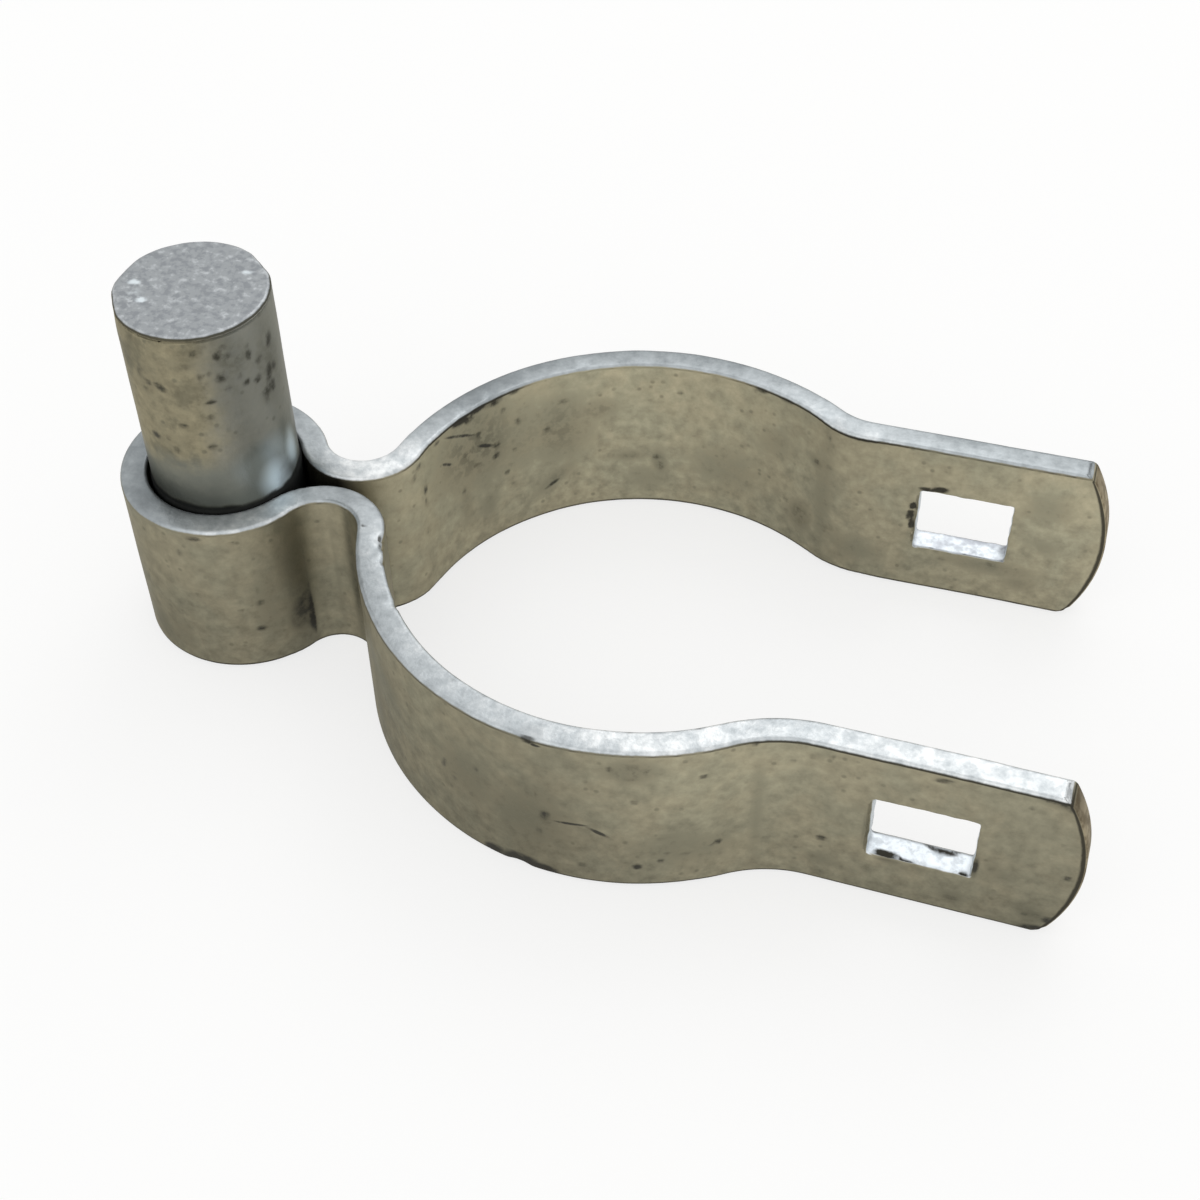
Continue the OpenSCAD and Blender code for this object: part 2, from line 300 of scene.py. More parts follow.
        (97.2, -5.5, 0.77, 0.77, 0.4), (102, 12.2, 1.46, 0.77, 0.84), (106.2, 12.3, 1.72, 0.6, 0.79),
        (100.9, 10.4, 0.69, 0.69, 0.3), (101.8, 4.1, 0.69, 0.86, 0.35), (109.7, 11.2, 0.6, 0.95, 0.45),
        (113.9, 10.6, 0.77, 1.03, 0.53), (114.4, 9.4, 0.86, 0.86, 0.48), (115.9, 8.4, 0.69, 0.77, 0.4),
        (112.3, 5, 0.86, 0.77, 0.53), (114.2, 5.3, 1.03, 0.69, 0.5), (107.2, -5.2, 1.2, 0.69, 0.53, -40),
        (109.9, -5.6, 1.38, 0.77, 0.5), (110.1, -7.8, 0.86, 1.03, 0.53), (114.4, -6.5, 0.69, 0.86, 0.5),
        (118, 12.4, 4, 0.6, 0.7), (128.7, 5.9, 1.5, 0.6, 1.5, 6), (126.8, 5.5, 1.3, 0.45, 1.4),
        (125.5, 2.3, 0.6, 0.8, 1.5), (125.3, 0.5, 0.6, 1.2, 1.5), (125.7, -1, 0.5, 1.2, 1.5),
        (121.8, 6.6, 0.86, 0.69, 0.4), (123.2, 4.8, 0.69, 0.69, 0.4), (132.6, 7.7, 1.38, 0.52, 0.35),
        (128.6, 7.6, 1.55, 0.52, 0.35), (148.1, -1.4, 0.77, 0.77, 0.45), (130.3, -6.6, 1.2, 0.77, 0.5),
        (137.1, -5.9, 1.55, 0.77, 0.48), (-60, -6, 0.86, 0.77, 0.79), (-100, 4, 0.86, 1.2, 0.7),
        (-135, -8, 1.03, 0.69, 0.62),
    ],
    # thin dark scratches: along, height, side, half length, half height, turn
    "scratches": [
        (-87, 12, 1, 1.3, 0.4, 22), (-88.3, 11.7, 1, 1.1, 0.35, -8), (-92, -1.5, 1, 3.6, 0.42, -4),
        (-95.2, -2.4, 1, 2.8, 0.55, 32), (55.4, 9.6, -1, 5.2, 0.5, -28), (60, 5.1, -1, 3, 0.6, -28),
        (52.4, 6.5, -1, 2.4, 0.5, -35), (70.5, -7, -1, 2.2, 0.6, 30),
    ],
    # pits in the top edge: along, depth through the bar, half length, half depth, strength, turn
    "topPits": [
        (-45.9, 1, 0.5, 0.35, 0.95), (-46.9, 0.5, 0.4, 0.3, 0.85), (-48.2, -1.4, 0.7, 0.4, 1),
        (-49.6, -1.5, 0.6, 0.35, 0.9), (-51.9, 0.7, 0.9, 0.25, 0.7, -20),
        (-65.7, -0.7, 0.7, 0.45, 0.85, 20), (-87.2, 1.6, 1.4, 0.35, 1), (-122, 0.2, 0.5, 0.3, 0.6),
        (-131.5, -0.4, 0.5, 0.3, 0.6), (-147.6, -0.4, 0.6, 0.45, 0.8), (-101.8, -1.5, 1.6, 0.5, 0.5),
        (-106.9, -1.5, 1, 0.5, 0.7), (-98.6, -1.5, 0.9, 0.45, 0.6), (-91, -1.5, 1.6, 0.45, 0.5),
        (-80, -1.4, 0.9, 0.5, 0.5), (-75.4, -0.9, 0.9, 0.5, 0.55, 20), (-72, 0.4, 1, 0.4, 0.45, -20),
        (-58.3, 0.2, 0.7, 0.5, 0.5), (-55.2, -0.6, 0.8, 0.45, 0.5, 30),
    ],
    # dirt on the floors of the holes, in the same order as the pits; the last, at the back hole's far end,
    # is painted shade
    "wallMarks": [
        (-130.1, 1.3, 2, 0.7, 1.4), (-136.5, -1, 2.2, 0.65, 1.3), (-139.3, 1.5, 0.8, 0.6, 1.3),
        (-132.6, 1.6, 1.4, 0.5, 1.1), (138.2, 0.5, 1.2, 2, 0.55),
    ],
}


def bendStretches(ear):
    # where the loop's middle is, and each bend's mid-line radius and turn, from the loop's far side outward
    wall = strap["thickness"]
    neckY = strap["neckGap"] / 2 + wall + strap["neckRadius"]
    neckX = -math.sqrt((bandRadius + wall + strap["neckRadius"]) ** 2 - neckY**2)
    loopX = neckX - math.sqrt((strap["loopRadius"] + wall + strap["neckRadius"]) ** 2 - neckY**2)
    throat = math.atan2(neckY, neckX - loopX)
    neck = math.atan2(neckY, neckX)
    earY = ear["halfGap"] + ear["bendRadius"] + wall
    earX = math.sqrt((bandRadius + wall + ear["bendRadius"]) ** 2 - earY**2)
    root = math.atan2(earY, earX)
    bends = [
        (strap["loopRadius"] + wall / 2, throat - math.pi),
        (strap["neckRadius"] + wall / 2, neck - throat),
        (bandRadius + wall / 2, root - neck),
        (ear["bendRadius"] + wall / 2, math.pi / 2 + math.radians(ear["splay"]) - root),
    ]
    return loopX, bends


def walk(ear, distance):
    # place, heading and curve on the mid-line, where a positive curve stretches the outer face
    bends = ear["bends"]
    x = ear["loopX"] - bends[0][0]
    y = 0
    heading = math.pi / 2
    for radius, turn in bends:
        length = radius * abs(turn)
        way = math.copysign(1, turn)
        middleX = x - way * radius * math.sin(heading)
        middleY = y + way * radius * math.cos(heading)
        heading += way * min(distance, length) / radius
        x = middleX + way * radius * math.sin(heading)
        y = middleY - way * radius * math.cos(heading)
        if distance <= length:
            return x, y, heading, -way / radius
        distance -= length
    return x + distance * math.cos(heading), y + distance * math.sin(heading), heading, 0


for ear in (strap["frontEar"], strap["backEar"]):
    ear["loopX"], ear["bends"] = bendStretches(ear)
    ear["tip"] = sum(radius * abs(turn) for radius, turn in ear["bends"]) + ear["length"]
    ear["hole"] = ear["tip"] - strap["holeInset"]


def earOf(along):
    return strap["backEar"] if along > 0 else strap["frontEar"]


def tipReach(ear, height):
    # how far along the strap the rounded end reaches at this height
    cornerRadius = strap["tipLow"] if height < 0 else strap["tipTop"]
    roundMiddle = ear["tip"] - strap["tipRadius"]
    cornerZ = strap["width"] / 2 - cornerRadius
    cornerX = math.sqrt((strap["tipRadius"] - cornerRadius) ** 2 - cornerZ**2)
    tangentZ = strap["tipRadius"] * math.sin(math.atan2(cornerZ, cornerX))
    if abs(height) > tangentZ:
        up = min(abs(height) - cornerZ, cornerRadius)
        return roundMiddle + cornerX + math.sqrt(cornerRadius**2 - up**2)
    return roundMiddle + math.sqrt(strap["tipRadius"] ** 2 - height**2)


def holeGap(along, height):
    # how far a point is outside its ear's hole, or inside it where this is negative
    reach = abs(abs(along) - earOf(along)["hole"])
    return max(reach - strap["holeLength"] / 2, abs(height) - strap["holeHeight"] / 2)


def straightBar():
    # the bar's section, drawn standing at the front ear's end and pushed along the whole strap
    bm = bmesh.new()
    bmesh.ops.create_grid(bm, x_segments=1, y_segments=1, size=0.5)
    bmesh.ops.scale(bm, vec=(strap["thickness"], strap["width"], 1), verts=bm.verts)
    easeEdges(bm, bm.verts[:], strap["edgeRadius"], strap["edgeSegments"], "VERTICES")
    bmesh.ops.delete(bm, geom=bm.faces[:], context="FACES_ONLY")
    start = -strap["frontEar"]["tip"]
    stand = Matrix(((0, 0, 1, start), (1, 0, 0, 0), (0, 1, 0, 0), (0, 0, 0, 1)))
    bmesh.ops.transform(bm, matrix=stand, verts=bm.verts)
    # rows: close over the holes, across them, and close to each rounded edge
    hole = strap["holeHeight"] / 2
    border = strap["edgeRadius"] + strap["holdingRow"]
    hold = strap["width"] / 2 - border
    side = strap["thickness"] / 2 - border
    count = strap["rowsOverHole"]
    rows = [hole + (hold - hole) * i / count for i in range(count + 1)]
    rows += [-row for row in rows]
    rows += [hole * (2 * i / strap["rowsInHole"] - 1) for i in range(1, strap["rowsInHole"])]
    cuts = [((0, 0, row), (0, 0, 1)) for row in rows]
    cuts += [((0, depth, 0), (0, 1, 0)) for depth in (-side, 0, side)]
    for place, across in cuts:
        bmesh.ops.bisect_plane(bm, geom=bm.verts[:] + bm.edges[:], dist=merging,
                               plane_co=place, plane_no=across)
    length = strap["frontEar"]["tip"] + strap["backEar"]["tip"]
    far = bmesh.ops.extrude_edge_only(bm, edges=bm.edges[:])["geom"]
    farVerts = [part for part in far if isinstance(part, bmesh.types.BMVert)]
    bmesh.ops.translate(bm, vec=(length, 0, 0), verts=farVerts)
    lengthwise = [edge for edge in bm.edges if edge.calc_length() > length / 2]
    bmesh.ops.subdivide_edges(bm, edges=lengthwise, cuts=round(length / strap["column"]) - 1)
    return bm


def middleOf(edge):
    return (edge.verts[0].co + edge.verts[1].co) / 2


def openEdges(bm, place, reach=0):
    # the edges round an opening, up to this far from a place along the bar
    reach += touching
    return [edge for edge in bm.edges if edge.is_boundary and abs(middleOf(edge).x - place) < reach]


def cutHole(bm, middle):
    # an oblong hole: two cuts across, the faces between them out, corners drawn round, walls bridged
    halfLength = strap["holeLength"] / 2
    halfHeight = strap["holeHeight"] / 2
    corner = strap["holeCorner"]
    for end in (middle - halfLength, middle + halfLength):
        near = [vert for vert in bm.verts if abs(vert.co.x - end) < strap["holeCut"]]
        edges = {edge for vert in near for edge in vert.link_edges}
        faces = {face for vert in near for face in vert.link_faces}
        bmesh.ops.bisect_plane(bm, geom=near + list(edges) + list(faces), dist=merging,
                               plane_co=(end, 0, 0), plane_no=(1, 0, 0))
    inside = []
    for face in bm.faces:
        centre = face.calc_center_median()
        if abs(centre.x - middle) < halfLength and abs(centre.z) < halfHeight:
            inside.append(face)
    bmesh.ops.delete(bm, geom=inside, context="FACES")
    rim = openEdges(bm, middle, halfLength)
    for vert in {vert for edge in rim for vert in edge.verts}:
        outX = abs(vert.co.x - middle) - (halfLength - corner)
        outZ = abs(vert.co.z) - (halfHeight - corner)
        if outX > 0 and outZ > 0:
            pull = corner / math.hypot(outX, outZ)
            vert.co.x = middle + math.copysign(halfLength - corner + outX * pull, vert.co.x - middle)
            vert.co.z = math.copysign(halfHeight - corner + outZ * pull, vert.co.z)
    walls = bmesh.ops.bridge_loops(bm, edges=rim)["edges"]
    bmesh.ops.subdivide_edges(bm, edges=walls, cuts=strap["rowsInWall"], use_grid_fill=True)
    easeEdges(bm, rim, strap["holeBevel"], strap["bevelSegments"])


def closeEnd(bm, ear):
    # the sheared end: closed, shaped to its outline, and its edges eased
    end = ear["side"] * ear["tip"]
    half = strap["thickness"] / 2
    ring = openEdges(bm, end)
    bmesh.ops.bridge_loops(bm, edges=[edge for edge in ring if abs(abs(middleOf(edge).y) - half) < merging])
    bmesh.ops.holes_fill(bm, edges=openEdges(bm, end), sides=0)
    start = ear["hole"] + strap["holeLength"] / 2 + strap["tipStart"]
    for vert in bm.verts:
        along = vert.co.x * ear["side"]
        if along > start:
            share = (tipReach(ear, vert.co.z) - start) / (ear["tip"] - start)
            vert.co.x = ear["side"] * (start + (along - start) * share)
    easeEdges(bm, ring, strap["tipBevel"], strap["bevelSegments"])


def markStrap(bm):
    # how light and how dirty each point is, and where painted shade and highlight fall, written on the
    # points while the bar is straight
    kinds = ("outerMarks", "innerMarks", "outerSmudges", "innerSmudges", "topPits", "wallMarks")
    marks = {name: sortMarks(strap[name]) for name in kinds}
    half = strap["thickness"] / 2
    flatHalf = half - strap["edgeRadius"]
    flatWidth = strap["width"] / 2 - strap["edgeRadius"]
    cleanFrom, cleanTo, dirtLeft, smudgeLeft = strap["cleanNeck"]
    streaksFrom, streaksTo = strap["streakedNeck"]

    def valuesAt(place):
        along, depth, height = place
        face = "outer" if depth > 0 else "inner"
        side = depth / half
        overWidth = max(abs(height) - flatWidth, 0)
        overDepth = max(abs(depth) - flatHalf, 0)
        toEnd = tipReach(earOf(along), height) - abs(along)
        onEnd = toEnd < strap["endSkin"]
        inHole = holeGap(along, height) < strap["wallSkin"] and abs(depth) < half - strap["wallSkin"]
        dirt = smudge = 0
        if inHole:
            if height < 0:
                rimDirt = strap["wallRimDirt"] if depth < strap["wallRim"] - half else 0
                dirt = max(markStrengthAt(marks["wallMarks"], along, depth), rimDirt)
        elif overWidth > 0 and overDepth < strap["edgeRadius"] * strap["edgeShare"]:
            dirt = markStrengthAt(marks["topPits"], along, depth) if height > 0 else 0
        elif not onEnd:
            dirt = markStrengthAt(marks[face + "Marks"], along, height)
            smudge = markStrengthAt(marks[face + "Smudges"], along, height)
        tone = level(strap[face + "Tones"], along)
        if face == "outer":
            if cleanFrom < along < cleanTo:
                dirt, smudge = dirtLeft * dirt, smudgeLeft * smudge
            if streaksFrom < along < streaksTo:
                tone *= 1 + ripple(along, height / strap["streakLength"], strap["neckStreaks"])
        if onEnd:
            line = 0
        elif height > flatWidth - touching:
            line = level(strap[face + "Line"], along)
        elif height < touching - flatWidth:
            line = strap["lowLine"]
        else:
            line = 1 if toEnd < strap["endLine"] else 0
        edge = math.atan2(overWidth, overDepth) / (math.pi / 2) if overWidth > 0 else 0
        cut = 1 if inHole or (onEnd and height < flatWidth + strap["cutTop"]) else 0
        edgeTone = level(strap["edgeTones"], along) + level(strap["edgeLean"], along) * side
        return along, side, edge, cut, tone, edgeTone, line, dirt, smudge

    writeOn(bm, ("along", "side", "edge", "cut", "tone", "edgeTone", "line", "dirt", "smudge"), valuesAt)


def bendStrap(bm):
    # every point goes to its bent place, with the unevenness of worked metal
    half = strap["thickness"] / 2
    halfWidth = strap["width"] / 2
    soft = strap["bendSoftness"]
    edgeLayer = bm.verts.layers.float["edge"]
    curves = {}
    for vert in bm.verts:
        along, depth, height = vert.co
        ear = earOf(along)
        nearHole = 1 - smooth(0, strap["holeSoftness"], holeGap(along, height))
        reach = abs(along) + nearHole * ripple(height, 2 * depth, strap["holeWobble"])
        key = round(reach * ear["side"], 2)
        if key not in curves:
            spread = [walk(ear, max(reach + offset, 0))[3] for offset in range(-soft, soft + 1)]
            curves[key] = sum(spread) / len(spread)
        x, y, heading, _ = walk(ear, reach)
        stretch = max(curves[key] * depth, 0)
        outward = smooth(strap["waveFrom"], 1, abs(height) / halfWidth)
        height += nearHole * ripple(along, 2 * depth, strap["holeHeave"])
        height *= 1 - strap["narrowing"] * stretch
        wander = ripple(along, 3 * depth, strap["edgeWave"])
        grain = ripple(along, 2 * depth, strap["edgeGrain"]) * vert[edgeLayer]
        height -= math.copysign(outward * (abs(wander) + grain), height)
        depth += ripple(along, height, strap["faceWave"])
        for place, nickHeight, nickSide, nickReach, nickDepth in strap["nicks"]:
            if abs(along - place) < nickReach * strap["nickFade"]:
                gap = math.dist((along, height, depth), (place, nickHeight, nickSide * half))
                push = nickDepth * (1 - smooth(strap["nickCore"], strap["nickFade"], gap / nickReach))
                height -= math.copysign(push, height)
                depth -= math.copysign(push * strap["nickInward"], depth)
        vert.co = (x - depth * math.sin(heading), ear["side"] * (y + depth * math.cos(heading)), height)


def makeStrap():
    bm = straightBar()
    for ear in (strap["frontEar"], strap["backEar"]):
        cutHole(bm, ear["side"] * ear["hole"])
        closeEnd(bm, ear)
    markStrap(bm)
    bendStrap(bm)
    return toObject(bm, "bentStrap")


# The pin is turned from its half outline.
pin = {
    "gripStep": 0.2,
    "footBevel": 0.5,
    "rimRadius": 0.5,
    "rimSegments": 4,
    "turns": 144,
    "footRings": 4,
    "rowsUp": 56,
    "rowsGripped": 12,
    "topRings": 16,
    "sideShare": 0.9,  # points beyond this share of the radius, and of the rim's height, belong to the side
    "ledgeClear": 0.5,  # unevenness begins this far above the strap
    # unevenness: length of a wave, seed and height
    "wave": (7, 4, 0.05),
    "rimWear": (2.2, 5, 0.1),
    "ringWave": (2, 8, 0.3),
    "wearHeight": 0.4,
    # flats on the top rim: direction in degrees and depth
    "rimFlats": [(48, 0.25), (-150, 0.2), (170, 0.15)],
    "flatWidth": (4, 17),  # degrees from a flat's middle at which it is full and gone
    "flatLength": 4,
    # dark spots: direction in degrees, height, half width, half height, strength, turn
    "marks": [
        (-68, 38.3, 0.81, 0.63, 1), (-80, 38.2, 0.72, 0.72, 0.53), (-76, 36.4, 0.99, 0.9, 0.58, 20),
        (-52, 37.3, 0.81, 0.99, 1, 10), (-44, 36.8, 1.8, 0.81, 0.63), (-48, 38.2, 0.9, 0.81, 0.63),
        (-60, 35.1, 0.72, 0.81, 0.63), (-67, 34.6, 0.72, 1.08, 0.63), (-52, 34, 1.26, 1.08, 0.79),
        (-38, 33.2, 0.9, 0.9, 0.63), (-115, 34.1, 0.81, 1.62, 0.63, -10), (-109, 32.9, 0.99, 0.72, 0.73),
        (-98, 32.7, 1.35, 0.81, 1, -35), (-112, 31.6, 0.9, 0.81, 0.53), (-28, 35.6, 0.72, 1.26, 0.84),
        (-28, 36.9, 0.54, 0.81, 0.58), (-6, 35.4, 1.08, 1.44, 0.95), (-20, 34, 1.08, 0.9, 0.63),
        (-5, 31.2, 0.9, 1.26, 0.63), (-34, 32, 0.9, 0.72, 1), (-24, 31.5, 0.99, 0.9, 1),
        (-12, 31, 0.81, 1.98, 1, -10), (-10, 29, 0.81, 1.62, 1, 10), (-18, 28.8, 1.26, 1.08, 0.84),
        (-19, 27.4, 0.81, 1.08, 0.53), (-49, 32.1, 0.81, 0.9, 0.63), (-51, 30.2, 0.72, 0.99, 0.42),
        (-63, 30.7, 1.08, 0.54, 1), (-65, 28.3, 0.72, 0.81, 0.84), (-86, 27, 1.08, 0.72, 0.73),
        (-113, 24.1, 1.08, 0.81, 1), (-101, 24.4, 0.81, 0.9, 0.63), (-96, 22.7, 0.81, 1.26, 0.63, 20),
        (-68, 23.6, 0.99, 0.81, 0.79), (-54, 25.9, 0.72, 0.81, 0.47), (-45, 27.7, 1.44, 1.26, 0.42),
        (-68, 33.2, 0.63, 1.08, 0.37), (60, 30, 1.08, 1.62, 0.84, 20), (100, 35, 0.81, 0.72, 0.95),
        (160, 31, 0.9, 0.81, 0.95), (-150, 35, 0.81, 0.72, 0.84),
    ],
    # soft grey smudges, in the same order
    "smudges": [
        (-42, 36, 3.6, 3.4, 0.75), (-48, 32, 2.6, 5, 0.4), (-12, 32, 4, 7, 0.6), (-112, 33, 2.4, 3.4, 0.5),
        (-72, 36.8, 4, 1.4, 0.35), (-100, 23.6, 3.4, 2, 0.35), (130, 25, 3.4, 5, 0.6),
    ],
    # height up to which the pin is black round its foot, by direction: painted shade in the gap to the loop,
    # with grease
    "ring": [(-180, 13.2), (-130, 13.4), (-65, 13.4), (-50, 13.1), (-35, 13.0), (-20, 12.9), (-5, 13.0),
             (15, 13.1), (180, 13.2)],
    "ringEdge": (0.4, 1),  # how far below and above that height the black fades
    # painted highlights where the foot shines, in the same order as the marks
    "shines": [
        (-21, 15, 4.7, 2.8, 1, -66), (1, 16.8, 3.8, 1.8, 0.68, -82), (-28, 18.6, 4.6, 3.8, 0.3),
    ],
    # bright spots on the top: x and y off the middle, then as above
    "topSpots": [
        (-7.1, -0.5, 1.3, 0.8, 1, 10), (-4.9, -3.5, 1, 0.9, 1), (5.5, 4.5, 1.4, 0.7, 0.8, 10),
        (-6.4, -2.6, 2.6, 2, 0.45, 40), (3, 2, 1.4, 0.9, 0.35),
    ],
}


def turnedBar():
    # the half outline, spun round the axis, with its foot and its top rim eased
    low, high, ledge = pinLow.z, pinHigh.z, strapHigh.z
    grip = pinRadius + pin["gripStep"]
    stretches = [
        (grip, low, pin["footRings"]),
        (grip, ledge - pin["gripStep"], pin["rowsGripped"]),
        (pinRadius, ledge, 1),
        (pinRadius, high, pin["rowsUp"]),
        (0, high, pin["topRings"]),
    ]
    bm = bmesh.new()
    end = bmesh.ops.create_vert(bm, co=(0, 0, low))["vert"][0]
    for radius, height, parts in stretches:
        step = (Vector((radius, 0, height)) - end.co) / parts
        for _ in range(parts):
            place = end.co + step
            end = bmesh.ops.extrude_vert_indiv(bm, verts=[end])["verts"][0]
            end.co = place
    bmesh.ops.spin(bm, geom=bm.verts[:] + bm.edges[:], cent=(0, 0, 0), axis=(0, 0, 1),
                   angle=2 * math.pi, steps=pin["turns"], use_merge=True)
    bmesh.ops.remove_doubles(bm, verts=bm.verts, dist=merging)
    rims = [(grip, low, pin["footBevel"], 1), (pinRadius, high, pin["rimRadius"], pin["rimSegments"])]
    for radius, height, size, segments in rims:
        ring = [edge for edge in bm.edges
                if all(abs(vert.co.z - height) < touching and abs(vert.co.xy.length - radius) < touching
                       for vert in edge.verts)]
        easeEdges(bm, ring, size, segments)
    return bm


def markPin(bm):
    # where the rim is, how dirty each point is, where the painted black shade of the gap to the loop lies
    # and where painted highlights shine, while the pin still stands on the axis
    marks, smudges, shines = (
        sortMarks([(math.radians(mark[0]) * pinRadius,) + mark[1:] for mark in pin[name]])
        for name in ("marks", "smudges", "shines")
    )
    topSpots = sortMarks(pin["topSpots"])
    rimStart = pinHigh.z - pin["rimRadius"]
    ringBlack, ringFade = pin["ringEdge"]

    def valuesAt(place):
        radius = place.xy.length
        angle = math.atan2(place.y, place.x)
        around = angle * pinRadius
        up = max(place.z - rimStart, 0)
        across = max(radius - (pinRadius - pin["rimRadius"]), 0)
        rim = math.atan2(up, across) / (math.pi / 2) if up > 0 else 0
        dirt = smudge = shine = 0
        if radius > pinRadius * pin["sideShare"] and up < pin["rimRadius"] * pin["sideShare"]:
            ringTop = level(pin["ring"], math.degrees(angle)) + ripple(around, 0, pin["ringWave"])
            ringShadeAndGrease = 1 - smooth(ringTop - ringBlack, ringTop + ringFade, place.z)
            dirt = max(ringShadeAndGrease, markStrengthAt(marks, around, place.z))
            smudge = markStrengthAt(smudges, around, place.z)
            shine = markStrengthAt(shines, around, place.z)
        elif place.z > pinHigh.z - touching:
            shine = markStrengthAt(topSpots, place.x, place.y)
        return rim, dirt, smudge, shine

    writeOn(bm, ("rim", "dirt", "smudge", "shine"), valuesAt)


def wearPin(bm):
    # the free length is a little uneven, and its rim is knocked flat in places
    flatFull, flatGone = pin["flatWidth"]
    for vert in bm.verts:
        radius = vert.co.xy.length
        if radius < pinRadius * pin["sideShare"] or vert.co.z < strapHigh.z + pin["ledgeClear"]:
            continue
        angle = math.atan2(vert.co.y, vert.co.x)
        around = angle * pinRadius
        up = vert.co.z - (pinHigh.z - pin["rimRadius"])
        wander = ripple(around, vert.co.z, pin["wave"])
        wander += abs(ripple(around, vert.co.z, pin["rimWear"])) * smooth(0, pin["wearHeight"], up)
        for direction, depth in pin["rimFlats"]:
            turn = (math.degrees(angle) - direction + 180) % 360 - 180
            sideways = 1 - smooth(flatFull, flatGone, abs(turn))
            wander += depth * sideways * smooth(-pin["flatLength"], pin["wearHeight"], up)
        vert.co.x *= 1 - max(wander, 0) / radius
        vert.co.y *= 1 - max(wander, 0) / radius


def makePin():
    bm = turnedBar()
    markPin(bm)
    wearPin(bm)
    bmesh.ops.translate(bm, vec=(pinX, 0, 0), verts=bm.verts)
    return toObject(bm, "gatePin")


# Finishes. Colours are written as they are seen, from 0 to 255.
def seen(red, green, blue):
    def linear(value):
        value /= 255
        return value / 12.92 if value <= 0.04045 else ((value + 0.055) / 1.055) ** 2.4

    return linear(red), linear(green), linear(blue), 1


white = (1, 1, 1, 1)


class Wire:
    # a value inside a material, with which sums are written as plain expressions
    def __init__(self, graph, socket):
        self.graph = graph
        self.socket = socket

    def sum(self, operation, first, second):
        return self.graph.node("ShaderNodeMath", {"operation": operation}, {0: first, 1: second})

    def __add__(self, other):
        return self.sum("ADD", self, other)

    def __sub__(self, other):
        return self.sum("SUBTRACT", self, other)

    def __rsub__(self, other):
        return self.sum("SUBTRACT", other, self)

    def __mul__(self, other):
        return self.sum("MULTIPLY", self, other)

    __radd__ = __add__
    __rmul__ = __mul__

    def __abs__(self):
        return self.sum("ABSOLUTE", self, 0)

    def most(self, other):
        # the greater of two values
        return self.sum("MAXIMUM", self, other)

    def between(self, low, high):
        # 0 below low, 1 above high, soft in between; the other way round where low is the greater
        return self.graph.node("ShaderNodeMapRange", {"interpolation_type": "SMOOTHSTEP"},
                               {0: self, 1: low, 2: high})

    def beside(self, output):
        # another output of the node that this value comes from
        return Wire(self.graph, self.socket.node.outputs[output])

    def into(self, socket):
        self.graph.tree.links.new(self.socket, socket)


class Graph:
    # the nodes of one material or of the surround
    def __init__(self, tree):
        self.tree = tree

    def node(self, kind, settings, values, output=0):
        made = self.tree.nodes.new(kind)
        for name, value in settings.items():
            setattr(made, name, value)
        for name, value in values.items():
            if isinstance(value, Wire):
                value.into(made.inputs[name])
            else:
                made.inputs[name].default_value = value
        return Wire(self, made.outputs[output])

    def shownRays(self):
        # 1 for what the camera sees, straight or by way of the metal, and 0 for what only lights the piece
        camera = self.node("ShaderNodeLightPath", {}, {}, "Is Camera Ray")
        return camera.most(camera.beside("Is Glossy Ray")).most(camera.beside("Is Transmission Ray"))


